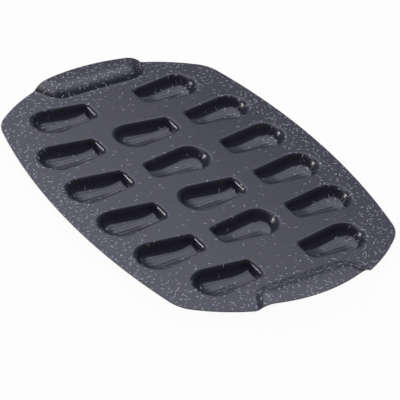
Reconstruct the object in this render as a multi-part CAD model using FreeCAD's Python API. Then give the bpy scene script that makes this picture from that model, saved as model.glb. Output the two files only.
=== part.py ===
"""A madeleine pan: one thin pressed sheet with sixteen shell-shaped cavities and two raised hood handles.

Units are millimetres. +X runs from handle to handle, +Z is up, and the origin lies on the surface that the
pan rests on, under its middle. The sheet is kept as regions that meet edge to edge: the flat deck, the two
handles and the sixteen shells. Each region is modelled with the deck's top face at z = 0 and lifted at the
end. Bends and round ends are short flat bands and chords, which keeps the sixteen repeated shells light.
"""
import FreeCAD, Part
import math
import os

from FreeCAD import Vector

# Driving dimensions: the sheet
sheet = 1.2

# Driving dimensions: one shell, measured at the deck's top face
shell_length = 72.0
shell_width = 42.4
shell_depth = 11.5
hinge_width = 31.0
hinge_corner_radius = 9.0
wall_draft = 20.0
lip_radius = 4.5

# Driving dimensions: the fluted belly of a shell
flute_count = 9
flute_depth = 0.5
rest_strip_width = 2.6
hinge_fan_width = 36.0
broad_fan_width = 50.0
belly_camber = 5.0
hinge_depth = 8.2
swell_depth = 8.6
broad_depth = 3.6
level_length = 20.0
level_offset = 1.0
swell_length = 17.0

# Driving dimensions: the layout of the shells
row_gap = 13.4
end_row_gap = 11.8
inner_column_gap = 17.0
second_column_gap = 13.0
end_column_gap = 48.0
side_border = 18.0

# Driving dimensions: the outline of the deck
side_bow_radius = 590.0
end_bow_radius = 185.0
corner_radius = 33.5

# Driving dimensions: a hood handle
handle_clearance = 4.2
handle_reach = 36.7
handle_rise = 7.1
handle_mouth = 103.0
handle_flare = 28.0
handle_corner_radius = 24.0
handle_draft = 45.0
handle_foot_radius = 5.0
handle_shoulder_radius = 17.0

# How many chords or bands stand for each round stretch
broad_chord_count = 14
corner_chord_count = 4
handle_chord_count = 6
lip_band_count = 2
handle_band_count = 3

# Derived sizes
deck_top = shell_depth + sheet
row_1_x = (shell_width + row_gap) / 2
row_2_x = row_1_x + shell_width + row_gap
row_3_x = row_2_x + shell_width + end_row_gap
inner_column_y = shell_length + inner_column_gap
second_column_y = shell_length + second_column_gap
end_column_y = (shell_length + end_column_gap) / 2
half_width = inner_column_y + shell_length / 2 + side_border
handle_base_x = row_3_x + shell_width / 2 + handle_clearance
half_length = handle_base_x + handle_reach


def draft_run(height, draft):
    """How far a wall of this draft leans over this height."""
    return height * math.tan(math.radians(draft))


def steps(start, end, count):
    """Evenly spaced values from start to end, both included."""
    return [start + (end - start) * i / count for i in range(count + 1)]


def round_points(centre, radius, start, end, chords):
    """Points on a level circle from the start angle to the end angle, in radians."""
    return [
        centre + Vector(radius * math.cos(angle), radius * math.sin(angle), 0)
        for angle in steps(start, end, chords)
    ]


def closed(points):
    """The closed wire through these points."""
    return Part.makePolygon(points + points[:1])


def ruled_solid(outlines):
    """The solid with one flat facet from each side of an outline to the same side of the next.

    Every outline has as many points as the others, and its sides run parallel to theirs.
    """
    faces = [Part.Face(closed(outlines[0])), Part.Face(closed(outlines[-1]))]
    for near, far in zip(outlines, outlines[1:]):
        for i in range(len(near)):
            faces.append(Part.Face(closed([near[i - 1], near[i], far[i], far[i - 1]])))
    return Part.Solid(Part.Shell(faces))


def upright(wire, low, high):
    """The upright solid on a level wire drawn at z = 0, from z = low to z = high."""
    base = Part.Face(wire)
    base.translate(Vector(0, 0, low))
    return base.extrude(Vector(0, 0, high - low))


def shell_outline(inset, z=0.0):
    """A shell's outline in plan, its broad end toward +Y, drawn inset from its edge at the deck.

    One broad circle and two small hinge corners, joined by their outer tangents.
    """
    broad_radius = shell_width / 2
    broad = Vector(0, shell_length / 2 - broad_radius, z)
    right = Vector(hinge_width / 2 - hinge_corner_radius, hinge_corner_radius - shell_length / 2, z)
    left = Vector(-right.x, right.y, z)
    way = broad - right
    lean = math.asin((broad_radius - hinge_corner_radius) / way.Length)
    side = math.atan2(way.y, way.x) - math.pi / 2 - lean
    small = hinge_corner_radius - inset
    points = round_points(broad, broad_radius - inset, side, math.pi - side, broad_chord_count)
    points += round_points(left, small, math.pi - side, 1.5 * math.pi, corner_chord_count)
    points += round_points(right, small, -0.5 * math.pi, side, corner_chord_count)
    return points


def belly_section(y, depth):
    """One cross-section of the room above the fluted belly, at the station y along the shell.

    Ridges and troughs lie on a cambered line, and the whole section grows with the fan's width, so that
    every facet between two sections is flat. The middle trough has a flat bottom, on which the shell rests.
    """
    share = y / shell_length + 0.5
    half_fan = (hinge_fan_width + (broad_fan_width - hinge_fan_width) * share) / 2
    growth = 2 * half_fan / broad_fan_width
    points = []
    for i, x in enumerate(steps(-half_fan, half_fan, 2 * flute_count)):
        ridge = flute_depth if i % 2 == 0 else 0.0
        height = growth * (ridge + belly_camber * (x / half_fan) ** 2)
        points.append(Vector(x, y, height - depth))
    middle = points.pop(flute_count)
    half_flat = Vector(growth * rest_strip_width / 2, 0, 0)
    points[flute_count:flute_count] = [middle - half_flat, middle + half_flat]
    points.append(Vector(half_fan, y, shell_depth))
    points.append(Vector(-half_fan, y, shell_depth))
    return points


def belly_room():
    """The room above the fluted belly, lofted along the shell.

    The belly falls from the hinge end to a level middle and swells up again to the broad end, and the
    flutes fan out on the way.
    """
    level_start = level_offset - level_length / 2
    level_end = level_offset + level_length / 2
    stations = [
        (-shell_length / 2, hinge_depth),
        (level_start, shell_depth),
        (level_end, shell_depth),
        (level_end + swell_length, swell_depth),
        (shell_length / 2, broad_depth),
    ]
    return ruled_solid([belly_section(y, depth) for y, depth in stations])


def shell_room(drop, rings):
    """The room above a shell's surface that lies a depth drop below the sheet's top face.

    Each ring is an inset of the shell's outline and its height. From the last ring the walls run on at
    their draft, down to the belly.
    """
    inset, z = rings[-1]
    floor = -drop - shell_depth - flute_depth
    foot = (inset + draft_run(z - floor, wall_draft), floor)
    walls = ruled_solid([shell_outline(inset, z) for inset, z in rings + [foot]])
    belly = belly_room()
    belly.translate(Vector(0, 0, -drop))
    return walls.common(belly)


def lip_rings(drop):
    """The rings of the lip, bent from the level deck to the drafted wall, a depth drop below the top face."""
    radius = lip_radius - drop
    turn = math.radians(90 - wall_draft)
    return [
        (radius * math.sin(angle), radius * math.cos(angle) - lip_radius)
        for angle in steps(0, turn, lip_band_count)
    ]


def shell():
    """One pressed shell: a lip bent down from the deck, drafted walls and the fluted belly."""
    inside = shell_room(0.0, [(0.0, lip_radius)] + lip_rings(0.0))
    outside = shell_room(sheet, [(0.0, 0.0)] + lip_rings(sheet))
    return outside.cut(inside)


def shell_places():
    """The name, place and turn of each shell, in rows from the left handle to the right one.

    The outer shells turn their broad ends outward, and the middle ones alternate.
    """
    places = []
    rows = [
        (row_3_x, [("front", -end_column_y, 180), ("back", end_column_y, 0)]),
        (row_2_x, [("front", -second_column_y, 180), ("middle", 0.0, 0), ("back", second_column_y, 0)]),
        (row_1_x, [("front", -inner_column_y, 180), ("middle", 0.0, 180), ("back", inner_column_y, 0)]),
    ]
    for number, (x, columns) in enumerate(rows, start=1):
        for column, y, turn in columns:
            left_turn = turn if column != "middle" else turn + 180
            places.append((f"shell_{number}_{column}", -x, y, left_turn))
            places.append((f"shell_{2 * len(rows) + 1 - number}_{column}", x, y, turn))
    return places


def at_shell(shape, x, y, turn):
    """A copy of a shape drawn for one shell, moved to the shell's place."""
    placed = shape.copy()
    placed.rotate(Vector(0, 0, 0), Vector(0, 0, 1), turn)
    placed.translate(Vector(x, y, 0))
    return placed


def corner_points():
    """Where the rounded back right corner starts on the side, its middle, and where it ends on the end bow.

    The corner circle touches both bows from inside, so its centre lies a side bow less the corner radius
    from the one centre and an end bow less the corner radius from the other.
    """
    side_centre = Vector(0, half_width - side_bow_radius, 0)
    end_centre = Vector(half_length - end_bow_radius, 0, 0)
    to_side = side_bow_radius - corner_radius
    to_end = end_bow_radius - corner_radius
    way = end_centre - side_centre
    gap = way.Length
    way.normalize()
    reach = (to_side**2 - to_end**2 + gap**2) / (2 * gap)
    offset = math.sqrt(to_side**2 - reach**2)
    centre = side_centre + way * reach + Vector(way.y, -way.x, 0) * offset
    side_way = (centre - side_centre).normalize()
    end_way = (centre - end_centre).normalize()
    middle_way = (side_way + end_way).normalize()
    return [centre + direction * corner_radius for direction in (side_way, middle_way, end_way)]


def pan_body(low, high):
    """The upright solid inside the pan's outline: two bowed sides, two bowed ends and round corners."""
    back = corner_points()
    front = [Vector(point.x, -point.y, 0) for point in reversed(back)]
    side_start = Vector(-back[0].x, back[0].y, 0)
    stretches = [
        [side_start, Vector(0, half_width, 0), back[0]],
        back,
        [back[2], Vector(half_length, 0, 0), front[0]],
        front,
    ]
    stretches += [[point * -1 for point in stretch] for stretch in stretches]
    return upright(Part.Wire([Part.Arc(*stretch).toShape() for stretch in stretches]), low, high)


def handle_outline(inset, z=0.0):
    """The right handle in plan, inset from the foot of its bend: a straight inner side and two flared ends.

    It runs on past the end of the pan, where the pan's outline trims it.
    """
    lean = math.radians(handle_flare)
    foot_x = handle_base_x + inset
    foot_y = handle_mouth / 2 - inset * math.tan(math.pi / 4 - lean / 2)
    far_x = half_length + handle_reach
    far_y = foot_y + (far_x - foot_x) * math.tan(lean)
    radius = handle_corner_radius - inset
    centre = Vector(foot_x + radius, foot_y - radius * math.tan(math.pi / 4 - lean / 2), z)
    upper = round_points(centre, radius, math.pi, math.pi / 2 + lean, handle_chord_count)
    upper.append(Vector(far_x, far_y, z))
    lower = [Vector(point.x, -point.y, z) for point in reversed(upper)]
    return lower + upper


def handle_rings(drop):
    """The rings of a handle's inner wall: up from the deck in one bend and level again in another."""
    turn = math.radians(90 - handle_draft)
    bends = handle_foot_radius + handle_shoulder_radius
    wall = handle_rise - bends * (1 - math.cos(turn))
    run = bends * math.sin(turn) + draft_run(wall, handle_draft)
    foot = handle_foot_radius + drop
    shoulder = handle_shoulder_radius - drop
    rings = []
    for angle in steps(0, turn, handle_band_count):
        rings.append((foot * math.sin(angle), handle_foot_radius - foot * math.cos(angle)))
    for angle in steps(turn, 0, handle_band_count):
        level = handle_rise - handle_shoulder_radius
        rings.append((run - shoulder * math.sin(angle), level + shoulder * math.cos(angle)))
    return rings


def handle():
    """The right handle: a raised hood of the sheet, open under its outer edge for the fingers."""
    below = (0.0, -sheet)
    over = ruled_solid([handle_outline(inset, z) for inset, z in [below] + handle_rings(0.0)])
    deep_below = (0.0, -2 * sheet)
    under = ruled_solid([handle_outline(inset, z) for inset, z in [deep_below] + handle_rings(sheet)])
    return over.cut(under).common(pan_body(-2 * sheet, 2 * handle_rise))


def deck():
    """The flat sheet, with openings where the shells and the handles continue it."""
    flat = pan_body(-sheet, 0.0)
    handle_opening = upright(closed(handle_outline(0.0)), -2 * sheet, sheet)
    cutters = [handle_opening, turned(handle_opening)]
    shell_opening = upright(closed(shell_outline(0.0)), -2 * sheet, sheet)
    for name, x, y, turn in shell_places():
        cutters.append(at_shell(shell_opening, x, y, turn))
    return flat.cut(cutters)


def turned(shape):
    """A copy of a shape turned half round about the pan's upright axis."""
    return at_shell(shape, 0.0, 0.0, 180)


def save(name, shape):
    """Write one region of the sheet, lifted so that the shells rest at z = 0."""
    solid = shape.Solids[0].copy()
    solid.translate(Vector(0, 0, deck_top))
    solid.exportStep(f"parts/{name}.step")
    print(name, "solids", len(shape.Solids), "valid", solid.isValid(), "volume", round(solid.Volume, 1))


def main():
    os.makedirs("parts", exist_ok=True)
    save("deck", deck())
    right_handle = handle()
    save("right_handle", right_handle)
    save("left_handle", turned(right_handle))
    pressed_shell = shell()
    for name, x, y, turn in shell_places():
        save(name, at_shell(pressed_shell, x, y, turn))


main()
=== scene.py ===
# %% [markdown]
# # A madeleine pan
# The pan is one thin sheet of metal, pressed into sixteen shell-shaped cavities and two raised hood handles,
# and coated dark grey with short pale flecks. We load the measured solids first. They give every place and
# size, and the smooth surfaces that we make below stand in for them.

# %% Load the measured solids
import math

import bmesh
import bpy
import numpy as np
from mathutils import Matrix, Quaternion, Vector, geometry


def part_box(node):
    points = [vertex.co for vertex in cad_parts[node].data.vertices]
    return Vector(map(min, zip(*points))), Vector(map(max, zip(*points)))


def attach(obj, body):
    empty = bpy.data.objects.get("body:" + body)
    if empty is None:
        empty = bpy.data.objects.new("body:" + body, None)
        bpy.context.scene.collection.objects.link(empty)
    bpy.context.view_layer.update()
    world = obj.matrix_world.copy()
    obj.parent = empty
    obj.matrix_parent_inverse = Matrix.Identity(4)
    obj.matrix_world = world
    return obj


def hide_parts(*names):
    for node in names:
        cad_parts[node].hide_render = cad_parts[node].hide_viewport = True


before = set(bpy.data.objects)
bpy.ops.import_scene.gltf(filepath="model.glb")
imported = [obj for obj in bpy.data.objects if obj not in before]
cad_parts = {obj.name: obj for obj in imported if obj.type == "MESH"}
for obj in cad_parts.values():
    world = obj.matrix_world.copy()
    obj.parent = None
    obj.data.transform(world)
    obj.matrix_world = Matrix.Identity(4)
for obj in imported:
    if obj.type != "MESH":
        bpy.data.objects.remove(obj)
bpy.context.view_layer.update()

MM = 0.001
scene = bpy.context.scene

# %% [markdown]
# The camera comes first. The camera comes early, because every later choice is compared with the
# photograph. It is a long lens far away, tilted a little, as a product picture is taken. A camera's matrix
# holds its right, up and backward directions as columns, so we work these out from three plain angles and
# put them in.

# %% Camera
CAMERA_TURN = math.radians(50.9)
CAMERA_HEIGHT = math.radians(35.9)
CAMERA_ROLL = math.radians(7.67)
CAMERA_DISTANCE = 2020.6 * MM
CAMERA_SLIDE = (-4.78 * MM, 21.7 * MM)
CAMERA_LENS = 193.5
CAMERA_SENSOR = 36.0
CAMERA_REACH = 20.0
DECK_TOP = 12.7 * MM

backward = Vector((
    math.sin(CAMERA_TURN) * math.cos(CAMERA_HEIGHT),
    -math.cos(CAMERA_TURN) * math.cos(CAMERA_HEIGHT),
    math.sin(CAMERA_HEIGHT),
))
level_right = Vector((0, 0, 1)).cross(backward).normalized()
level_up = backward.cross(level_right)
right = math.cos(CAMERA_ROLL) * level_right + math.sin(CAMERA_ROLL) * level_up
up = math.cos(CAMERA_ROLL) * level_up - math.sin(CAMERA_ROLL) * level_right
stand = backward * CAMERA_DISTANCE - right * CAMERA_SLIDE[0] - up * CAMERA_SLIDE[1]
stand = stand + Vector((0, 0, DECK_TOP))

camera_data = bpy.data.cameras.new("camera")
camera_data.lens = CAMERA_LENS
camera_data.sensor_width = CAMERA_SENSOR
camera_data.clip_end = CAMERA_REACH
camera = bpy.data.objects.new("camera", camera_data)
camera.matrix_world = Matrix.Translation(stand) @ Matrix((right, up, backward)).transposed().to_4x4()
scene.collection.objects.link(camera)
scene.camera = camera
print("camera stands at", [round(value, 3) for value in stand])

# %% [markdown]
# Every outline on this pan is a chain of arcs and straight tangents. Both can be written with one formula:
# a centre, a radius and an angle that change evenly along the stretch, with the point at centre + radius *
# (cos angle, sin angle). A steady centre and radius give an arc, and a steady angle gives a straight line.
# The angle is also the direction that the edge faces, so an inset of the outline only takes something off
# the radius. As a test we print three points of a quarter circle.

# %% Outlines as chains of stretches
def stretch(start, end, count):
    """Points from start up to, but not with, end: rows of centre x, centre y, radius and angle.

    Each row is start * (1 - share) + end * share, with a share that grows evenly from 0.
    """
    share = np.linspace(0.0, 1.0, count, endpoint=False)[:, None]
    return np.asarray(start) * (1 - share) + np.asarray(end) * share


def outline_facing(chain):
    """The outward direction at each point of a chain: (cos angle, sin angle)."""
    return np.column_stack([np.cos(chain[:, 3]), np.sin(chain[:, 3])])


def outline_points(chain, inset=0.0):
    """Plan points of a chain of stretches: centre + (radius - inset) * (cos angle, sin angle)."""
    return chain[:, :2] + (chain[:, 2:3] - inset) * outline_facing(chain)


test_arc = stretch((0, 0, 10, 0), (0, 0, 10, math.pi / 2), 3)
print("on a quarter circle:", outline_points(test_arc).round(1).tolist())

# %% [markdown]
# A shell seen from above is a broad circle and two small circles at its hinge end, wrapped by a tight band.
# The band's straight sides touch both circles, which fixes the angle that they face.

# %% The rim of one shell
SHELL_LENGTH = 72.0
SHELL_WIDTH = 42.4
HINGE_WIDTH = 31.0
HINGE_RADIUS = 9.0
BROAD_STEPS = 64
SIDE_STEPS = 28
HINGE_CORNER_STEPS = 14
HINGE_STEPS = 16


def shell_rim():
    """The shell's outline at the deck, in mm, with its broad end toward +Y, as a chain of six stretches.

    A side leans from the line of centres by the arcsine of the difference of the radii over their distance.
    """
    radius = SHELL_WIDTH / 2
    broad_y = SHELL_LENGTH / 2 - radius
    corner_x = HINGE_WIDTH / 2 - HINGE_RADIUS
    corner_y = HINGE_RADIUS - SHELL_LENGTH / 2
    way = np.array([-corner_x, broad_y - corner_y])
    lean = math.asin((radius - HINGE_RADIUS) / np.hypot(*way))
    side = math.atan2(way[1], way[0]) - math.pi / 2 - lean
    broad_start = (0, broad_y, radius, side)
    broad_end = (0, broad_y, radius, math.pi - side)
    left_start = (-corner_x, corner_y, HINGE_RADIUS, math.pi - side)
    left_end = (-corner_x, corner_y, HINGE_RADIUS, 1.5 * math.pi)
    right_start = (corner_x, corner_y, HINGE_RADIUS, 1.5 * math.pi)
    right_end = (corner_x, corner_y, HINGE_RADIUS, 2 * math.pi + side)
    broad_again = (0, broad_y, radius, 2 * math.pi + side)
    return np.vstack([
        stretch(broad_start, broad_end, BROAD_STEPS),
        stretch(broad_end, left_start, SIDE_STEPS),
        stretch(left_start, left_end, HINGE_CORNER_STEPS),
        stretch(left_end, right_start, HINGE_STEPS),
        stretch(right_start, right_end, HINGE_CORNER_STEPS),
        stretch(right_end, broad_again, SIDE_STEPS),
    ])


def rim_inset(plan):
    """How far points of the plan lie inside the rim: the least distance from its tangent lines."""
    facing = outline_facing(rim)
    reach = np.sum(outline_points(rim) * facing, axis=1)
    return np.min(reach - plan @ facing.T, axis=-1)


rim = shell_rim()
print("points round a shell:", len(rim))

# %% [markdown]
# The inside of a shell is the higher of two surfaces: a wall that bends down from the deck, and a belly
# with flutes that fan out toward the broad end. Taking the plain maximum would leave a knife crease, so we
# use a soft maximum. Where the two heights come closer than a blend k, it adds (k - gap)^2 / (4 k), which
# rounds the meeting line and leaves everything else alone. The same formula, with a tighter lip and a lower
# belly, gives the underside of the sheet.

# %% Wall and belly of a shell
SHEET = 1.2
LIP_RADIUS = 4.5
WALL_DRAFT = math.radians(20.0)
SHELL_DEPTH = 11.5
FLUTES = 9
FLUTE_DEPTH = 0.2
BELLY_CAMBER = 3.2
KEEL = 0.12
HINGE_FAN = 26.0
BROAD_FAN = 50.0
HINGE_LEVEL = -9.0
HINGE_RUN = 27.0
HINGE_RISE = 3.3
HINGE_POWER = 1.3
BROAD_LEVEL = 11.0
BROAD_RUN = 25.0
BROAD_RISE = 7.9
BROAD_POWER = 2.4
LEAST_BLEND = 1e-6


def wall_height(inset, radius):
    """A quarter bend of this radius about a point LIP_RADIUS under the rim, then a straight wall.

    The bend is the root of radius^2 - inset^2, and the wall falls by inset / tan(draft).
    """
    end = radius * math.cos(WALL_DRAFT)
    foot = radius * math.sin(WALL_DRAFT) - LIP_RADIUS
    bend = np.sqrt(np.maximum(radius**2 - np.minimum(inset, end) ** 2, 0.0)) - LIP_RADIUS
    return np.where(inset < end, bend, foot - (inset - end) / math.tan(WALL_DRAFT))


def belly_height(x, y, crest):
    """A boat-shaped belly: its depth along y, a hyperbola across x, and flutes in a fan.

    Along y it is level in the middle, and past a level's end it rises by rise * (distance / run)^power.
    The hyperbola is the root of across^2 + KEEL^2, less KEEL: round on the middle line and straight beside
    it. Across a flute the share runs from 0 to 1, and crest(share) is 1 on its ridges and 0 in its trough.
    """
    half_fan = (HINGE_FAN + (BROAD_FAN - HINGE_FAN) * (y / SHELL_LENGTH + 0.5)) / 2
    growth = 2 * half_fan / BROAD_FAN
    across = x / half_fan
    share = np.mod((across + 1) / 2 * FLUTES, 1.0)
    hinge_rise = HINGE_RISE * np.clip((HINGE_LEVEL - y) / HINGE_RUN, 0, None) ** HINGE_POWER
    broad_rise = BROAD_RISE * np.clip((y - BROAD_LEVEL) / BROAD_RUN, 0, None) ** BROAD_POWER
    keel = np.sqrt(across**2 + KEEL**2) - KEEL
    camber = growth * (BELLY_CAMBER * keel + FLUTE_DEPTH * crest(share))
    return hinge_rise + broad_rise + camber - SHELL_DEPTH


def sharp_crest(share):
    """Round troughs that meet in sharp ridges: the square of the distance from the trough's middle."""
    return (2 * share - 1) ** 2


def soft_crest(share):
    """Round troughs and round ridges: one wave of a cosine."""
    return 0.5 + 0.5 * np.cos(2 * math.pi * share)


def soft_max(first, second, blend):
    """The higher of two surfaces, raised by (blend - gap)^2 / (4 blend) where the gap is under the blend."""
    closeness = np.clip(blend - np.abs(first - second), 0.0, None)
    return np.maximum(first, second) + closeness**2 / (4 * np.maximum(blend, LEAST_BLEND))


print("height of the belly's middle:", round(float(belly_height(0.0, 0.0, sharp_crest)), 2))

# %% [markdown]
# The shell's grid runs round the rim in one direction and from the rim to the shell's middle line in the
# other. Near the rim its rows are insets of the outline, close together where the sheet bends. Further in,
# they shrink evenly onto the middle line, where left and right meet and are merged. The foot of the wall is
# tight at the hinge end and wide round the rest, so the blend grows along the shell.

# %% The grid of one shell
INNER_INSET = 6.9
MIDDLE_LINE = (-24.0, SHELL_LENGTH / 2 - SHELL_WIDTH / 2)
WALL_BLEND = 10.5
HINGE_BLEND = 3.0
HINGE_FOOT = (-30.0, -21.0)
BEND_ROWS = 9
WALL_ROWS = 17
BELLY_ROWS = 29


def shell_surface(lip, drop, crest):
    """One face of the pressed shell as an array of rows, points round the rim, and x, y, z in mm.

    A row is the rim moved in by an inset, or a share of the way from the inmost inset to the middle line,
    and its height is the soft maximum of wall and belly.
    """
    bend = lip * np.sin(np.linspace(0, math.pi / 2 - WALL_DRAFT, BEND_ROWS))
    insets = np.concatenate([bend, np.linspace(bend[-1], INNER_INSET, WALL_ROWS)[1:]])
    shares = np.concatenate([np.zeros(len(insets)), np.linspace(0, 1, BELLY_ROWS)[1:]])
    insets = np.concatenate([insets, np.full(BELLY_ROWS - 1, INNER_INSET)])
    edge = outline_points(rim)[None] - insets[:, None, None] * outline_facing(rim)[None]
    middle = np.zeros_like(edge)
    middle[..., 1] = np.clip(edge[..., 1], *MIDDLE_LINE)
    plan = edge + shares[:, None, None] * (middle - edge)
    inset = rim_inset(plan)
    wall = wall_height(inset, lip)
    belly = belly_height(plan[..., 0], plan[..., 1], crest) - drop
    along = np.clip((plan[..., 1] - HINGE_FOOT[0]) / (HINGE_FOOT[1] - HINGE_FOOT[0]), 0, 1)
    blend = HINGE_BLEND + (WALL_BLEND - HINGE_BLEND) * along
    rounding = blend * np.clip(inset / LIP_RADIUS, 0, 1) ** 2
    height = soft_max(wall, belly, rounding)
    return np.dstack([plan, height])


inside = shell_surface(LIP_RADIUS, 0.0, sharp_crest)
outside = shell_surface(LIP_RADIUS - SHEET, SHEET, soft_crest)
print("shell grid:", inside.shape, "deepest point:", round(inside[..., 2].min(), 2))

# %% [markdown]
# The finish comes before the pieces, so that each piece can take it as it is made. It is a matt non-stick
# coating with a stone look: a dark blue-grey ground, and short pale rods scattered in all directions. A
# shader is a tree of nodes, and these helpers let us write one down as a row of short calls.

# %% Helpers for shader nodes
def add_node(tree, kind, **settings):
    """A node with its properties set by name."""
    made = tree.nodes.new(kind)
    for name, value in settings.items():
        setattr(made, name, value)
    return made


def feed(tree, socket, value):
    """Connect a socket to another, or set it to a plain number or colour."""
    if isinstance(value, bpy.types.NodeSocket):
        tree.links.new(value, socket)
    else:
        socket.default_value = value


def calculate(tree, operation, first, second=0.0, third=0.0):
    """One Math node on up to three numbers."""
    made = add_node(tree, "ShaderNodeMath", operation=operation)
    for socket, value in zip(made.inputs, (first, second, third)):
        feed(tree, socket, value)
    return made.outputs[0]


def smooth_step(tree, value, low, high):
    """0 below low, 1 above high, and a soft ramp between them."""
    made = add_node(tree, "ShaderNodeMapRange", interpolation_type="SMOOTHSTEP")
    feed(tree, made.inputs["Value"], value)
    feed(tree, made.inputs["From Min"], low)
    feed(tree, made.inputs["From Max"], high)
    return made.outputs["Result"]


def mix_colour(tree, share, first, second):
    """A colour between two others: first * (1 - share) + second * share."""
    made = add_node(tree, "ShaderNodeMix", data_type="RGBA")
    feed(tree, made.inputs["Factor"], share)
    feed(tree, made.inputs["A"], first)
    feed(tree, made.inputs["B"], second)
    return made.outputs["Result"]


def new_group(name, inputs, outputs):
    """An empty node group with named sockets: inputs and outputs are lists of name and kind."""
    tree = bpy.data.node_groups.new(name, "ShaderNodeTree")
    for socket, kind in inputs:
        tree.interface.new_socket(socket, in_out="INPUT", socket_type=kind)
    for socket, kind in outputs:
        tree.interface.new_socket(socket, in_out="OUTPUT", socket_type=kind)
    return tree, tree.nodes.new("NodeGroupInput").outputs, tree.nodes.new("NodeGroupOutput").inputs


node_helpers = (add_node, feed, calculate, smooth_step, mix_colour, new_group)
print("helpers:", [helper.__name__ for helper in node_helpers])

# %% [markdown]
# The rods could be separate meshes, but thousands of them lie flat in the coating, so a shader draws them.
# A Voronoi texture puts one random point in each cell, and the shader measures how far we are from a short
# line through that point, turned by the cell's own random angle. Other random numbers of the cell say how
# long its rod is and whether it has one at all.

# %% The scattered flecks as a node group
NUMBER = "NodeSocketFloat"
VECTOR = "NodeSocketVector"
FLECK_SCATTER = 0.85
LEAST_LENGTH = 0.65
LENGTH_SPREAD = 0.5
FLECK_OUTSIDE = 1.15
FLECK_INSIDE = 0.8


def make_flecks_group():
    """Rods on the plan: per cell, distance to a line of the given length, turned by a random angle.

    The mask is 1 where that distance is well under half the width, and 0 in cells that have no rod.
    """
    tree, given, result = new_group(
        "scattered_flecks",
        [("Position", VECTOR), ("Spacing", NUMBER), ("Length", NUMBER), ("Width", NUMBER),
         ("Density", NUMBER)],
        [("Mask", NUMBER), ("Shade", NUMBER)],
    )
    scaled = add_node(tree, "ShaderNodeVectorMath", operation="SCALE")
    feed(tree, scaled.inputs[0], given["Position"])
    feed(tree, scaled.inputs["Scale"], calculate(tree, "DIVIDE", 1.0, given["Spacing"]))
    flat = add_node(tree, "ShaderNodeVectorMath", operation="MULTIPLY")
    feed(tree, flat.inputs[0], scaled.outputs[0])
    feed(tree, flat.inputs[1], (1.0, 1.0, 0.0))
    cells = add_node(tree, "ShaderNodeTexVoronoi", voronoi_dimensions="2D", feature="F1")
    feed(tree, cells.inputs["Vector"], flat.outputs[0])
    feed(tree, cells.inputs["Scale"], 1.0)
    feed(tree, cells.inputs["Randomness"], FLECK_SCATTER)
    random = add_node(tree, "ShaderNodeSeparateColor")
    feed(tree, random.inputs[0], cells.outputs["Color"])
    away = add_node(tree, "ShaderNodeVectorMath", operation="SUBTRACT")
    feed(tree, away.inputs[0], flat.outputs[0])
    feed(tree, away.inputs[1], cells.outputs["Position"])
    turned = add_node(tree, "ShaderNodeVectorRotate", rotation_type="Z_AXIS")
    feed(tree, turned.inputs["Vector"], away.outputs[0])
    feed(tree, turned.inputs["Angle"], calculate(tree, "MULTIPLY", random.outputs[0], 2 * math.pi))
    parts = add_node(tree, "ShaderNodeSeparateXYZ")
    feed(tree, parts.inputs[0], turned.outputs[0])
    size = calculate(tree, "MULTIPLY_ADD", random.outputs[2], LENGTH_SPREAD, LEAST_LENGTH)
    half_length = calculate(tree, "MULTIPLY", given["Length"], 0.5)
    half_length = calculate(tree, "MULTIPLY", half_length, size)
    half_length = calculate(tree, "DIVIDE", half_length, given["Spacing"])
    half_width = calculate(tree, "MULTIPLY", given["Width"], 0.5)
    half_width = calculate(tree, "DIVIDE", half_width, given["Spacing"])
    past_end = calculate(tree, "SUBTRACT", calculate(tree, "ABSOLUTE", parts.outputs[0]), half_length)
    past_end = calculate(tree, "MAXIMUM", past_end, 0.0)
    squares = calculate(tree, "MULTIPLY", past_end, past_end)
    squares = calculate(tree, "MULTIPLY_ADD", parts.outputs[1], parts.outputs[1], squares)
    distance = calculate(tree, "DIVIDE", calculate(tree, "SQRT", squares), half_width)
    rod = smooth_step(tree, distance, FLECK_OUTSIDE, FLECK_INSIDE)
    kept = calculate(tree, "LESS_THAN", random.outputs[1], given["Density"])
    feed(tree, result["Mask"], calculate(tree, "MULTIPLY", rod, kept))
    feed(tree, result["Shade"], random.outputs[2])
    return tree


flecks_group = make_flecks_group()
print("node group:", flecks_group.name, "nodes:", len(flecks_group.nodes))

# %% [markdown]
# The coating itself is not perfectly even. Sprayed and baked, it has a faint mottle a few millimetres
# across and a fine orange-peel texture. Both the upper face and the underside have it, so it is a group.

# %% The sprayed grain as a node group
NOISE_DETAIL = 3.0


def make_grain_group():
    """Two scales of noise: a mottle for the colour and a fine grain for the bump and the gloss."""
    tree, given, result = new_group(
        "sprayed_grain",
        [("Position", VECTOR), ("Mottle Size", NUMBER), ("Grain Size", NUMBER)],
        [("Mottle", NUMBER), ("Grain", NUMBER)],
    )
    for output, size in (("Mottle", "Mottle Size"), ("Grain", "Grain Size")):
        noise = add_node(tree, "ShaderNodeTexNoise")
        feed(tree, noise.inputs["Vector"], given["Position"])
        feed(tree, noise.inputs["Scale"], calculate(tree, "DIVIDE", 1.0, given[size]))
        feed(tree, noise.inputs["Detail"], NOISE_DETAIL)
        feed(tree, result[output], noise.outputs[0])
    return tree


grain_group = make_grain_group()
print("node group:", grain_group.name, "nodes:", len(grain_group.nodes))

# %% [markdown]
# The two sides of the sheet are coated alike, so they share these helpers. The fine grain makes the gloss
# uneven and, as a bump, tilts the surface a little. A bump is enough here, because the grain is far too
# small to show in the outline.

# %% What both coatings share
BUMP_HEIGHT = 0.0002


def place_group(tree, group, **values):
    """A node group in a material, with its inputs fed by name."""
    made = add_node(tree, "ShaderNodeGroup", node_tree=group)
    for name, value in values.items():
        feed(tree, made.inputs[name.replace("_", " ")], value)
    return made.outputs


def new_coating(name):
    """A new material, its node tree, its shader and the place on the piece in Object coordinates."""
    material = bpy.data.materials.new(name)
    material.use_nodes = True
    tree = material.node_tree
    position = add_node(tree, "ShaderNodeTexCoord").outputs["Object"]
    return material, tree, tree.nodes["Principled BSDF"], position


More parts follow.
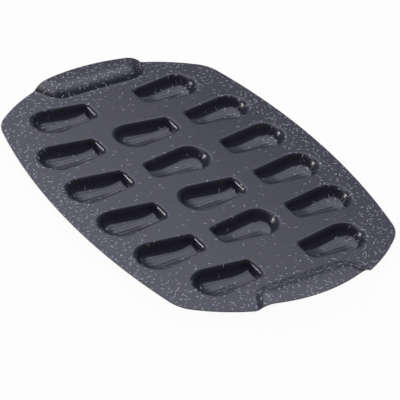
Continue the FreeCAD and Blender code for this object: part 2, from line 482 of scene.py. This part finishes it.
def spray(tree, shader, grain, spread, least, strength):
    """The grain in the gloss and the bump: roughness is grain * spread + least."""
    feed(tree, shader.inputs["Roughness"], calculate(tree, "MULTIPLY_ADD", grain, spread, least))
    bump = add_node(tree, "ShaderNodeBump")
    feed(tree, bump.inputs["Strength"], strength)
    feed(tree, bump.inputs["Distance"], BUMP_HEIGHT)
    feed(tree, bump.inputs["Height"], grain)
    feed(tree, shader.inputs["Normal"], bump.outputs[0])


print("helpers:", [helper.__name__ for helper in (place_group, new_coating, spray)])

# %% [markdown]
# The flecks lie thickest along the border and on the handles and thin out toward the middle. A
# superellipse, (|x| / a)^4 + (|y| / b)^4, is near 0 in the middle of an oblong and 1 at its edge, so it
# makes a good density. On the steep walls the plan pattern would be drawn out into streaks, and there it is
# faded. One layer has one rod in each cell and looks too even, so a second layer, moved aside, lies over it.

# %% The stone coating of the upper face
GROUND = (0.03, 0.03, 0.048, 1.0)
GROUND_LIGHT = (0.04, 0.04, 0.062, 1.0)
FLECK = (0.6, 0.6, 0.7, 1.0)
FLECK_DIM = (0.24, 0.24, 0.3, 1.0)
FLECK_SHIFTS = ((0.0, 0.0, 0.0), (0.3117, 0.2353, 0.0))
FLECK_STEEP = 0.35
FLECK_LEVEL = 0.8
PALE_EDGE_GREY = (0.2, 0.2, 0.22, 1.0)
BORDER_HALVES = (0.2, 0.143)
BORDER_POWER = 4.0
BORDER_RAMP = (0.12, 0.62)
DENSITY_GAIN = 0.72
DENSITY_LEAST = 0.1


def border_density(tree, position):
    """Low in the middle of the pan and high along its border, from the superellipse of x and y."""
    parts = add_node(tree, "ShaderNodeSeparateXYZ")
    feed(tree, parts.inputs[0], position)
    powers = []
    for part, half in zip(parts.outputs, BORDER_HALVES):
        share = calculate(tree, "ABSOLUTE", calculate(tree, "DIVIDE", part, half))
        powers.append(calculate(tree, "POWER", share, BORDER_POWER))
    ramp = smooth_step(tree, calculate(tree, "ADD", *powers), *BORDER_RAMP)
    return calculate(tree, "MULTIPLY_ADD", ramp, DENSITY_GAIN, DENSITY_LEAST)


def make_stone_coating():
    """The upper face: mottled blue-grey ground, pale flecks, a lighter cut edge, fine grain in bump and
    gloss.
    """
    material, tree, shader, position = new_coating("stone_coating")
    grain = place_group(tree, grain_group, Position=position, Mottle_Size=0.006, Grain_Size=0.0006)
    density = border_density(tree, position)
    normal = add_node(tree, "ShaderNodeSeparateXYZ")
    feed(tree, normal.inputs[0], add_node(tree, "ShaderNodeNewGeometry").outputs["True Normal"])
    level = smooth_step(tree, normal.outputs[2], FLECK_STEEP, FLECK_LEVEL)
    spotted = mix_colour(tree, grain["Mottle"], GROUND, GROUND_LIGHT)
    for shift in FLECK_SHIFTS:
        moved = add_node(tree, "ShaderNodeVectorMath", operation="ADD")
        feed(tree, moved.inputs[0], position)
        feed(tree, moved.inputs[1], shift)
        flecks = place_group(tree, flecks_group, Position=moved.outputs[0], Spacing=0.0066, Length=0.0023,
                             Width=0.00066, Density=density)
        mask = calculate(tree, "MULTIPLY", flecks["Mask"], level)
        fleck = mix_colour(tree, flecks["Shade"], FLECK_DIM, FLECK)
        spotted = mix_colour(tree, mask, spotted, fleck)
    # A lighter grey is mixed into the colour along the cut edge of the deck.
    edge = add_node(tree, "ShaderNodeAttribute", attribute_name="cut_edge").outputs["Fac"]
    feed(tree, shader.inputs["Base Color"], mix_colour(tree, edge, spotted, PALE_EDGE_GREY))
    spray(tree, shader, grain["Grain"], spread=0.12, least=0.21, strength=0.12)
    return material


stone_coating = make_stone_coating()
print("finish:", stone_coating.name, "nodes:", len(stone_coating.node_tree.nodes))

# %% [markdown]
# The underside of such pans is plain. It gets the same sprayed grain without flecks, darker and a little
# rougher.

# %% The plain coating of the underside
UNDER_DARK = (0.02, 0.02, 0.023, 1.0)
UNDER_LIGHT = (0.04, 0.04, 0.044, 1.0)


def make_plain_coating():
    """The underside: a dark mottled ground with the grain in bump and gloss."""
    material, tree, shader, position = new_coating("plain_coating")
    grain = place_group(tree, grain_group, Position=position, Mottle_Size=0.009, Grain_Size=0.0008)
    feed(tree, shader.inputs["Base Color"], mix_colour(tree, grain["Mottle"], UNDER_DARK, UNDER_LIGHT))
    spray(tree, shader, grain["Grain"], spread=0.16, least=0.3, strength=0.15)
    return material


plain_coating = make_plain_coating()
COATINGS = [stone_coating, plain_coating]
STONE = 0
PLAIN = 1
print("finishes:", [material.name for material in COATINGS])

# %% [markdown]
# A grid of points becomes a mesh when each cell is written as a face. The faces of the inside run
# anticlockwise seen from above, those of the underside the other way, and a narrow band closes the sheet
# at the rim. The band is shaded flat, which keeps its direction out of the smooth faces beside it.

# %% Meshes from arrays
def grid_faces(rows, around, first):
    """Faces between the rows of a grid that closes on itself, as four point numbers each."""
    row, column = np.meshgrid(np.arange(rows - 1), np.arange(around), indexing="ij")
    beside = (column + 1) % around
    corners = [row * around + column, row * around + beside]
    corners += [(row + 1) * around + beside, (row + 1) * around + column]
    return first + np.stack([corner.ravel() for corner in corners], axis=1)


def make_piece(name, points, faces, face_material, flat):
    """A coated mesh from points in mm and lists of faces, with a coating and a flat mark for each face."""
    mesh = bpy.data.meshes.new(name)
    mesh.from_pydata((points * MM).tolist(), [], faces)
    for material in COATINGS:
        mesh.materials.append(material)
    mesh.polygons.foreach_set("material_index", np.asarray(face_material, dtype=np.int32))
    mesh.polygons.foreach_set("use_smooth", ~np.asarray(flat, dtype=bool))
    mesh.update()
    piece = bpy.data.objects.new(name, mesh)
    scene.collection.objects.link(piece)
    return piece


print("faces between two rings of eight points:", len(grid_faces(2, 8, 0)))

# %% [markdown]
# A shell needs two repairs when its mesh is made. Along the middle line its left and right points lie in
# one place, and we merge them. At the rim a smooth mesh would lean its shading toward the wall, and a line
# would show where the level deck begins, so there we set the shading level ourselves.

# %% Repairs on a shell
MERGE_DISTANCE = 2e-6
SAME_HEIGHT = 1e-7
INSIDE_FACING = 0.2


def merge_doubles(piece):
    """Join the points of a piece that lie in one place."""
    edit = bmesh.new()
    edit.from_mesh(piece.data)
    bmesh.ops.remove_doubles(edit, verts=edit.verts, dist=MERGE_DISTANCE)
    edit.to_mesh(piece.data)
    edit.free()


def point_rows(mesh):
    """The places and the shading directions of a mesh's points, as two arrays of rows."""
    places = np.empty(3 * len(mesh.vertices), dtype=np.float32)
    mesh.vertices.foreach_get("co", places)
    directions = np.empty(3 * len(mesh.vertices), dtype=np.float32)
    mesh.vertex_normals.foreach_get("vector", directions)
    return places.reshape(-1, 3), directions.reshape(-1, 3)


def level_rim(piece):
    """Shade a shell's rim as level as the deck: straight up on its upper face and down on its lower one."""
    places, directions = point_rows(piece.data)
    under_deck = places[:, 2] - DECK_TOP
    upper_rim = np.abs(under_deck) < SAME_HEIGHT
    lower_rim = (np.abs(under_deck + SHEET * MM) < SAME_HEIGHT) & (directions[:, 2] < INSIDE_FACING)
    directions[upper_rim] = (0, 0, 1)
    directions[lower_rim] = (0, 0, -1)
    piece.data.normals_split_custom_set_from_vertices(directions.tolist())


print("points closer than", MERGE_DISTANCE / MM, "mm are merged")

# %% [markdown]
# Now the sixteen shells. Each is the same pair of grids, turned and moved to the place of its solid. Shells
# in the front row turn their broad ends to the front and those in the back row to the back. In the middle
# row they take turns.

# %% The sixteen shells
FRONT_MIDDLES = ("shell_2_middle", "shell_4_middle")


def shell_place(node):
    """Where a shell's middle is in plan, in mm, and which way its broad end points along Y: 1 or -1."""
    low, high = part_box(node)
    centre = np.array([low[0] + high[0], low[1] + high[1]]) / 2 / MM
    front = node.endswith("front") or node in FRONT_MIDDLES
    return centre, -1.0 if front else 1.0


def place_points(points, node):
    """Points drawn for one shell, turned half round where it points to the front, and moved to its place."""
    centre, way = shell_place(node)
    placed = np.array(points, dtype=float)
    placed[..., :2] = placed[..., :2] * way + centre
    return placed


shell_nodes = sorted(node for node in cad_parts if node.startswith("shell"))
rows, around = inside.shape[:2]
upper_faces = grid_faces(rows, around, 0)
lower_faces = grid_faces(rows, around, rows * around)[:, ::-1]
turn = np.arange(around)
next_turn = (turn + 1) % around
band_faces = np.stack([turn, turn + rows * around, next_turn + rows * around, next_turn], axis=1)
shell_faces = np.vstack([upper_faces, lower_faces, band_faces])
shell_kinds = [len(upper_faces), len(lower_faces), len(band_faces)]
shell_material = np.repeat([STONE, PLAIN, PLAIN], shell_kinds)
shell_flat = np.repeat([False, False, True], shell_kinds)
local_points = np.vstack([inside.reshape(-1, 3), outside.reshape(-1, 3)])
local_points[:, 2] += DECK_TOP / MM

for node in shell_nodes:
    points = place_points(local_points, node)
    piece = make_piece(f"pressed_{node}", points, shell_faces.tolist(), shell_material, shell_flat)
    merge_doubles(piece)
    level_rim(piece)
    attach(piece, "root")
    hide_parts(node)
print("shells:", len(shell_nodes), "faces in each:", len(shell_faces))

# %% [markdown]
# The outline of the pan is two bowed sides, two bowed ends and four round corners. A corner circle that
# touches both bows from inside has its centre where two smaller circles cross, and that gives every angle.

# %% The outline of the pan
HALF_LENGTH = 200.0
HALF_WIDTH = 143.0
SIDE_BOW = 590.0
END_BOW = 185.0
CORNER = 33.5
END_CENTRE = HALF_LENGTH - END_BOW
BOW_STEPS = 130
CORNER_STEPS = 26


def pan_outline():
    """The pan's edge, in mm, as a chain of eight arcs from the right end round to the left one and back.

    A corner's centre lies CORNER inside both bows, so it is where circles of the bows' radii less CORNER
    cross: reach along the line of the bows' centres, and offset to the side of it.
    """
    side_centre = np.array([0.0, HALF_WIDTH - SIDE_BOW])
    end_centre = np.array([END_CENTRE, 0.0])
    way = end_centre - side_centre
    gap = np.hypot(*way)
    way = way / gap
    reach = ((SIDE_BOW - CORNER) ** 2 - (END_BOW - CORNER) ** 2 + gap**2) / (2 * gap)
    offset = math.sqrt((SIDE_BOW - CORNER) ** 2 - reach**2)
    corner = side_centre + way * reach + np.array([way[1], -way[0]]) * offset
    end_turn = math.atan2(*(corner - end_centre)[::-1])
    side_turn = math.atan2(*(corner - side_centre)[::-1])
    chain = []
    for half, sign in ((0.0, 1.0), (math.pi, -1.0)):
        end = (sign * END_CENTRE, 0.0, END_BOW)
        first = (sign * corner[0], sign * corner[1], CORNER)
        side = (0.0, sign * side_centre[1], SIDE_BOW)
        second = (-sign * corner[0], sign * corner[1], CORNER)
        side_end = half + math.pi - side_turn
        second_end = half + math.pi - end_turn
        chain.append(stretch((*end, half - end_turn), (*end, half + end_turn), BOW_STEPS))
        chain.append(stretch((*first, half + end_turn), (*first, half + side_turn), CORNER_STEPS))
        chain.append(stretch((*side, half + side_turn), (*side, side_end), BOW_STEPS))
        chain.append(stretch((*second, side_end), (*second, second_end), CORNER_STEPS))
    return np.vstack(chain)


edge_chain = pan_outline()
print("points round the pan:", len(edge_chain))

# %% [markdown]
# A handle is a raised hood. From its foot on the deck the sheet bends up, runs up a short wall, and bends
# level again, so its height depends only on the distance in from the foot. We work out that distance for
# any point of the plan: from the straight inner side, from the flared ends, or from the round corners
# between them. Toward the free edge the crown falls a little, as a pillow does.

# %% The height of the hood handles
HANDLE_FOOT = 163.3
HANDLE_MOUTH = 51.5
HANDLE_FLARE = math.radians(28.0)
HANDLE_CORNER = 24.0
HANDLE_RISE = 7.1
HANDLE_WALL = math.radians(48.0)
FOOT_BEND = 4.4
SHOULDER_BEND = 23.0
CROWN_FALL = 1.2
SLOPE_STEP = 0.02
CORNER_X = HANDLE_FOOT + HANDLE_CORNER
CORNER_Y = HANDLE_MOUTH - HANDLE_CORNER * math.tan(math.pi / 4 - HANDLE_FLARE / 2)
BEND_TURN = math.pi / 2 - HANDLE_WALL
WALL_RISE = HANDLE_RISE - (FOOT_BEND + SHOULDER_BEND) * (1 - math.cos(BEND_TURN))
FOOT_END = FOOT_BEND * math.sin(BEND_TURN)
WALL_END = FOOT_END + WALL_RISE * math.tan(HANDLE_WALL)
HOOD_RUN = WALL_END + SHOULDER_BEND * math.sin(BEND_TURN)


def hood_inset(x, y):
    """How far a point lies inside the foot of the handle on its side of the pan, in mm.

    It is the lesser distance from the inner side and the flared end. In the sector of a round corner it is
    the corner's radius less the distance from its centre.
    """
    x = np.abs(x)
    y = np.abs(y)
    from_side = x - HANDLE_FOOT
    from_end = (HANDLE_MOUTH - y) * math.cos(HANDLE_FLARE) + from_side * math.sin(HANDLE_FLARE)
    away_x = x - CORNER_X
    away_y = y - CORNER_Y
    in_corner = (away_y > 0) & (away_y * math.sin(HANDLE_FLARE) + away_x * math.cos(HANDLE_FLARE) < 0)
    round_inset = HANDLE_CORNER - np.hypot(away_x, away_y)
    return np.where(in_corner, round_inset, np.minimum(from_side, from_end))


def hood_height(x, y):
    """Up from the deck in an S: a bend, a straight wall and a bend back to level, in mm.

    A bend's height is its radius less the root of radius^2 - distance^2. Over the crown the height falls
    with the square of the way to the free edge.
    """
    inset = np.clip(hood_inset(x, y), 0.0, HOOD_RUN)
    foot = FOOT_BEND - np.sqrt(FOOT_BEND**2 - np.minimum(inset, FOOT_END) ** 2)
    wall = FOOT_BEND * (1 - math.cos(BEND_TURN)) + (inset - FOOT_END) / math.tan(HANDLE_WALL)
    left = np.clip(HOOD_RUN - inset, 0.0, HOOD_RUN - WALL_END)
    shoulder = HANDLE_RISE - SHOULDER_BEND + np.sqrt(SHOULDER_BEND**2 - left**2)
    height = np.where(inset < FOOT_END, foot, np.where(inset < WALL_END, wall, shoulder))
    outward = np.clip((np.abs(x) - HANDLE_FOOT - HOOD_RUN) / (HALF_LENGTH - HANDLE_FOOT - HOOD_RUN), 0, 1)
    return height * (1 - CROWN_FALL / HANDLE_RISE * outward**2)


def sheet_normal(x, y):
    """The upward direction of the sheet, (-slope in x, -slope in y, 1) made one long."""
    slope_x = (hood_height(x + SLOPE_STEP, y) - hood_height(x - SLOPE_STEP, y)) / (2 * SLOPE_STEP)
    slope_y = (hood_height(x, y + SLOPE_STEP) - hood_height(x, y - SLOPE_STEP)) / (2 * SLOPE_STEP)
    normal = np.stack([-slope_x, -slope_y, np.ones_like(slope_x)], axis=-1)
    return normal / np.linalg.norm(normal, axis=-1, keepdims=True)


print("height of a handle's free edge:", round(float(hood_height(HALF_LENGTH, 0.0)), 2))

# %% [markdown]
# The deck and its handles are one flat sheet with holes before it is pressed. A grid can't follow sixteen
# holes, so we let Blender join all the outlines with a Delaunay triangulation and then lift each point to
# the height of the hood. Extra points lie in rows along the bends of the handles, where the sheet curves.

# %% The points of the deck
EDGE_ROUND = 0.3
HOOD_BEND_ROWS = 8
CROWN_ROWS = np.array([1.5, 3.5, 6.0, 9.0])
FLARE_REACH = 40.0
INNER_SIDE_STEPS = 24
HOOD_CORNER_STEPS = 20
FLARE_STEPS = 24
CROWN_GRID_X = np.arange(186.0, 199.0, 2.5)
CROWN_GRID_Y = np.arange(1.5, 50.0, 3.0)
CROWN_GAP = 1.0
EDGE_GAP = 1.0
MIRROR_GAP = 0.2


def hood_foot_line():
    """Half of a handle's foot, in mm: the inner side, a round corner and a flared end, as a chain."""
    facing = math.pi / 2 + HANDLE_FLARE
    side_start = (CORNER_X, 0.0, HANDLE_CORNER, math.pi)
    corner_start = (CORNER_X, CORNER_Y, HANDLE_CORNER, math.pi)
    corner_end = (CORNER_X, CORNER_Y, HANDLE_CORNER, facing)
    flare_x = CORNER_X + FLARE_REACH * math.cos(HANDLE_FLARE)
    flare_y = CORNER_Y + FLARE_REACH * math.sin(HANDLE_FLARE)
    flare_end = (flare_x, flare_y, HANDLE_CORNER, facing)
    return np.vstack([
        stretch(side_start, corner_start, INNER_SIDE_STEPS),
        stretch(corner_start, corner_end, HOOD_CORNER_STEPS),
        stretch(corner_end, flare_end, FLARE_STEPS),
    ])


def handle_points():
    """Points of both handles, in mm: insets of the foot line and a grid on the crown, inside the edge."""
    bend = np.linspace(0.0, BEND_TURN, HOOD_BEND_ROWS)
    foot = FOOT_BEND * np.sin(bend)
    shoulder = HOOD_RUN - SHOULDER_BEND * np.sin(bend[::-1])
    insets = np.concatenate([foot, shoulder, HOOD_RUN + CROWN_ROWS])
    half = hood_foot_line()
    rings = np.vstack([outline_points(half, inset) for inset in insets])
    crown_x, crown_y = np.meshgrid(CROWN_GRID_X, CROWN_GRID_Y)
    crown = np.column_stack([crown_x.ravel(), crown_y.ravel()])
    crown = crown[hood_inset(crown[:, 0], crown[:, 1]) > insets[-1] + CROWN_GAP]
    quarter = np.vstack([rings, crown])
    within = np.hypot(quarter[:, 0] - END_CENTRE, quarter[:, 1]) < END_BOW - EDGE_GAP
    quarter = quarter[within & (quarter[:, 1] >= 0)]
    mirrored = quarter[quarter[:, 1] > MIRROR_GAP] * (1, -1)
    right_points = np.vstack([quarter, mirrored])
    return np.vstack([right_points, -right_points])


border = outline_points(edge_chain, EDGE_ROUND)
hole_points = [place_points(outline_points(rim), node) for node in shell_nodes]
plan = np.vstack([border, *hole_points, handle_points()])
print("deck points:", len(plan))

# %% [markdown]
# The triangulation fills the holes too. A shell's outline is convex, so a triangle with all three corners
# on one hole lies inside that hole, and we drop it. Triangles that run clockwise are turned over.

# %% The triangles of the deck
FILL_ALL = 0
FILL_NEARNESS = 1e-5


def ring_edges(first, count):
    """Edges that close a ring of points."""
    number = np.arange(count)
    return np.column_stack([first + number, first + (number + 1) % count])


ring_starts = [0] + [len(border) + len(rim) * i for i in range(len(shell_nodes))]
ring_counts = [len(border)] + [len(rim)] * len(shell_nodes)
fixed_edges = np.vstack([ring_edges(first, count) for first, count in zip(ring_starts, ring_counts)])
ring_of = np.full(len(plan), -1)
for number, (first, count) in enumerate(zip(ring_starts, ring_counts)):
    ring_of[first:first + count] = number

plan_vectors = [Vector(point) for point in plan]
filled = geometry.delaunay_2d_cdt(plan_vectors, fixed_edges.tolist(), [], FILL_ALL, FILL_NEARNESS)
filled_faces, sources = filled[2:4]
original = np.array([source[0] for source in sources])
triangles = original[np.array(filled_faces)]
rings = ring_of[triangles]
in_hole = (rings[:, 0] == rings[:, 1]) & (rings[:, 1] == rings[:, 2]) & (rings[:, 0] > 0)
triangles = triangles[~in_hole]
corner_a, corner_b, corner_c = (plan[triangles[:, i]] for i in range(3))
first_side = corner_b - corner_a
second_side = corner_c - corner_a
clockwise = first_side[:, 0] * second_side[:, 1] < first_side[:, 1] * second_side[:, 0]
triangles[clockwise] = triangles[clockwise][:, ::-1]
print("triangles on the upper face:", len(triangles))

# %% [markdown]
# The underside is the same sheet moved one thickness along its own normal, with its faces turned over. The
# cut edge is a small rounded profile carried along the outline: out from the upper face, down, and in
# again. Its points also carry a number that mixes a lighter grey into the coating's colour there.

# %% The deck and handles as one piece
EDGE_BEVEL = 0.7
EDGE_PALENESS = 0.5

height = hood_height(plan[:, 0], plan[:, 1])
normal = sheet_normal(plan[:, 0], plan[:, 1])
upper = np.column_stack([plan, height + DECK_TOP / MM])
lower = upper - normal * SHEET
outward = np.column_stack([outline_facing(edge_chain), np.zeros(len(border))])
border_normal = normal[:len(border)]
full = SHEET / EDGE_ROUND
profile = [(EDGE_BEVEL, 1 - EDGE_BEVEL), (1.0, 1.0), (1.0, full - 1), (EDGE_BEVEL, full - 1 + EDGE_BEVEL)]
edge_rows = [
    upper[:len(border)] + outward * EDGE_ROUND * out - border_normal * EDGE_ROUND * down
    for out, down in profile
]
deck_points = np.vstack([upper, lower, *edge_rows])
count = len(plan)
loop = np.arange(len(border))
next_loop = (loop + 1) % len(border)
edge_starts = [0] + [2 * count + len(border) * i for i in range(len(profile))] + [count]
edge_faces = np.vstack([
    np.column_stack([above + loop, below + loop, below + next_loop, above + next_loop])
    for above, below in zip(edge_starts, edge_starts[1:])
])
hole_faces = np.vstack([
    np.column_stack([edges[:, 0], edges[:, 1], edges[:, 1] + count, edges[:, 0] + count])
    for edges in (ring_edges(first, len(rim)) for first in ring_starts[1:])
])
deck_groups = [triangles, triangles[:, ::-1] + count, edge_faces, hole_faces]
deck_faces = [face for group in deck_groups for face in group.tolist()]
deck_kinds = [len(group) for group in deck_groups]
deck_material = np.repeat([STONE, PLAIN, STONE, PLAIN], deck_kinds)
deck_flat = np.repeat([False, False, False, True], deck_kinds)
deck = make_piece("deck_and_handles", deck_points, deck_faces, deck_material, deck_flat)
edge_normals = [
    outward * out + border_normal * (1 - out) * side
    for (out, _), side in zip(profile, (1, 1, -1, -1))
]
shading = np.vstack([normal, -normal, *edge_normals])
deck.data.normals_split_custom_set_from_vertices(shading.tolist())
# The points of the cut edge get a share of lighter grey in their colour.
pale_layer = deck.data.attributes.new("cut_edge", "FLOAT", "POINT")
paleness = np.repeat([0.0, EDGE_PALENESS], [2 * count, len(deck_points) - 2 * count])
pale_layer.data.foreach_set("value", paleness.astype(np.float32))
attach(deck, "root")
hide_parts("deck", "left_handle", "right_handle")
print("deck faces:", len(deck_faces))

# %% [markdown]
# The pan lies on a plain white floor. Seen directly the floor is bright white, as in a cut-out product
# picture, and it still takes a soft shadow, because a share of it is an ordinary matt surface.

# %% Floor
FLOOR_HALF = 9.0
FLOOR_MATT = (0.9, 0.9, 0.9, 1.0)
FLOOR_GLOW = 0.96


def make_floor_finish():
    """Mostly plain white to the camera and to mirror-like rays, and an ordinary matt white to the rest."""
    material = bpy.data.materials.new("white_floor")
    material.use_nodes = True
    tree = material.node_tree
    tree.nodes.remove(tree.nodes["Principled BSDF"])
    matt = add_node(tree, "ShaderNodeBsdfDiffuse")
    feed(tree, matt.inputs["Color"], FLOOR_MATT)
    glow = add_node(tree, "ShaderNodeEmission")
    rays = add_node(tree, "ShaderNodeLightPath").outputs
    seen = calculate(tree, "MAXIMUM", rays["Is Camera Ray"], rays["Is Glossy Ray"])
    seen = calculate(tree, "MAXIMUM", seen, rays["Is Transmission Ray"])
    both = add_node(tree, "ShaderNodeMixShader")
    feed(tree, both.inputs[0], calculate(tree, "MULTIPLY", seen, FLOOR_GLOW))
    feed(tree, both.inputs[1], matt.outputs[0])
    feed(tree, both.inputs[2], glow.outputs[0])
    feed(tree, tree.nodes["Material Output"].inputs["Surface"], both.outputs[0])
    return material


floor_mesh = bpy.data.meshes.new("floor")
floor_corners = np.array([(-1, -1, 0), (1, -1, 0), (1, 1, 0), (-1, 1, 0)]) * FLOOR_HALF
floor_mesh.from_pydata(floor_corners.tolist(), [], [(0, 1, 2, 3)])
floor_mesh.materials.append(make_floor_finish())
floor = bpy.data.objects.new("floor", floor_mesh)
scene.collection.objects.link(floor)
print("floor:", 2 * FLOOR_HALF, "m across")

# %% [markdown]
# The deck shows a soft sheen because a large pale panel stands behind the pan. Its lower edge is just where
# a level mirror would show it to the camera, and it rises to the right, so the level sheet is light and
# what leans away mirrors something darker. Two dimmer panels to the right of it let the sheen fade slowly
# over the round shoulders of the handles, and a weak panel under it keeps the folds of the sheet from going
# black. A soft lamp overhead lights the coating itself and its flecks, a small low lamp on the left draws
# the bright line on the lips of the hinge ends, and a weak even sky fills the rest. The lamps light the
# pan, but the camera doesn't see them.

# %% Lights
PANEL_DISTANCE = 4.0
PANEL_ROLL = math.radians(30.0)
PANEL_COLOUR = (0.9, 0.9, 1.06)
LAMP_DISTANCE = 2.4
LAMP_COLOUR = (1.0, 1.0, 1.0)
SKY_COLOUR = (0.95, 0.97, 1.0, 1.0)
SKY_STRENGTH = 0.12


def add_area(name, direction, distance, size, roll, radiance, colour):
    """A panel that faces the middle of the pan, its long sides rising to the right by the roll.

    Its power is its radiance times pi times its area.
    """
    lamp = bpy.data.lights.new(name, "AREA")
    lamp.shape = "RECTANGLE"
    lamp.size, lamp.size_y = size
    lamp.color = colour
    lamp.energy = radiance * math.pi * size[0] * size[1]
    holder = bpy.data.objects.new(name, lamp)
    holder.location = Vector(direction).normalized() * distance
    facing = (-holder.location).to_track_quat("-Z", "Y")
    holder.rotation_euler = (facing @ Quaternion((0, 0, 1), -roll)).to_euler()
    holder.visible_camera = False
    scene.collection.objects.link(holder)


def behind(turn, height):
    """A direction on the far side of the pan from the camera, so far to the left and so high, in degrees.

    It is away * cos(turn) - right * sin(turn) on the level, and this * cos(height) + up * sin(height).
    """
    turn = math.radians(turn)
    height = math.radians(height)
    away = Vector((-backward.x, -backward.y, 0)).normalized()
    level = away * math.cos(turn) - level_right * math.sin(turn)
    return level * math.cos(height) + Vector((0, 0, math.sin(height)))


panels = (
    ("back_panel", behind(13.0, 49.2), (4.2, 2.3), PANEL_ROLL, 2.1),
    ("right_panel", behind(-40.0, 58.0), (0.7, 1.6), 0.0, 1.4),
    ("far_right_panel", behind(-58.0, 58.0), (0.7, 1.6), 0.0, 0.7),
    ("low_panel", behind(13.0, 13.0), (4.2, 1.6), 0.0, 0.22),
)
for name, direction, size, roll, radiance in panels:
    add_area(name, direction, PANEL_DISTANCE, size, roll, radiance, PANEL_COLOUR)
lamps = (
    ("top_lamp", (-0.3, -0.15, 0.94), (1.2, 1.2), 2.6),
    ("side_lamp", (-0.629, -0.754, 0.17), (0.4, 0.4), 40.0),
)
for name, direction, size, radiance in lamps:
    add_area(name, direction, LAMP_DISTANCE, size, 0.0, radiance, LAMP_COLOUR)

sky = bpy.data.worlds.new("even_sky")
sky.use_nodes = True
sky.node_tree.nodes["Background"].inputs["Color"].default_value = SKY_COLOUR
sky.node_tree.nodes["Background"].inputs["Strength"].default_value = SKY_STRENGTH
scene.world = sky
scene.view_settings.view_transform = "Standard"
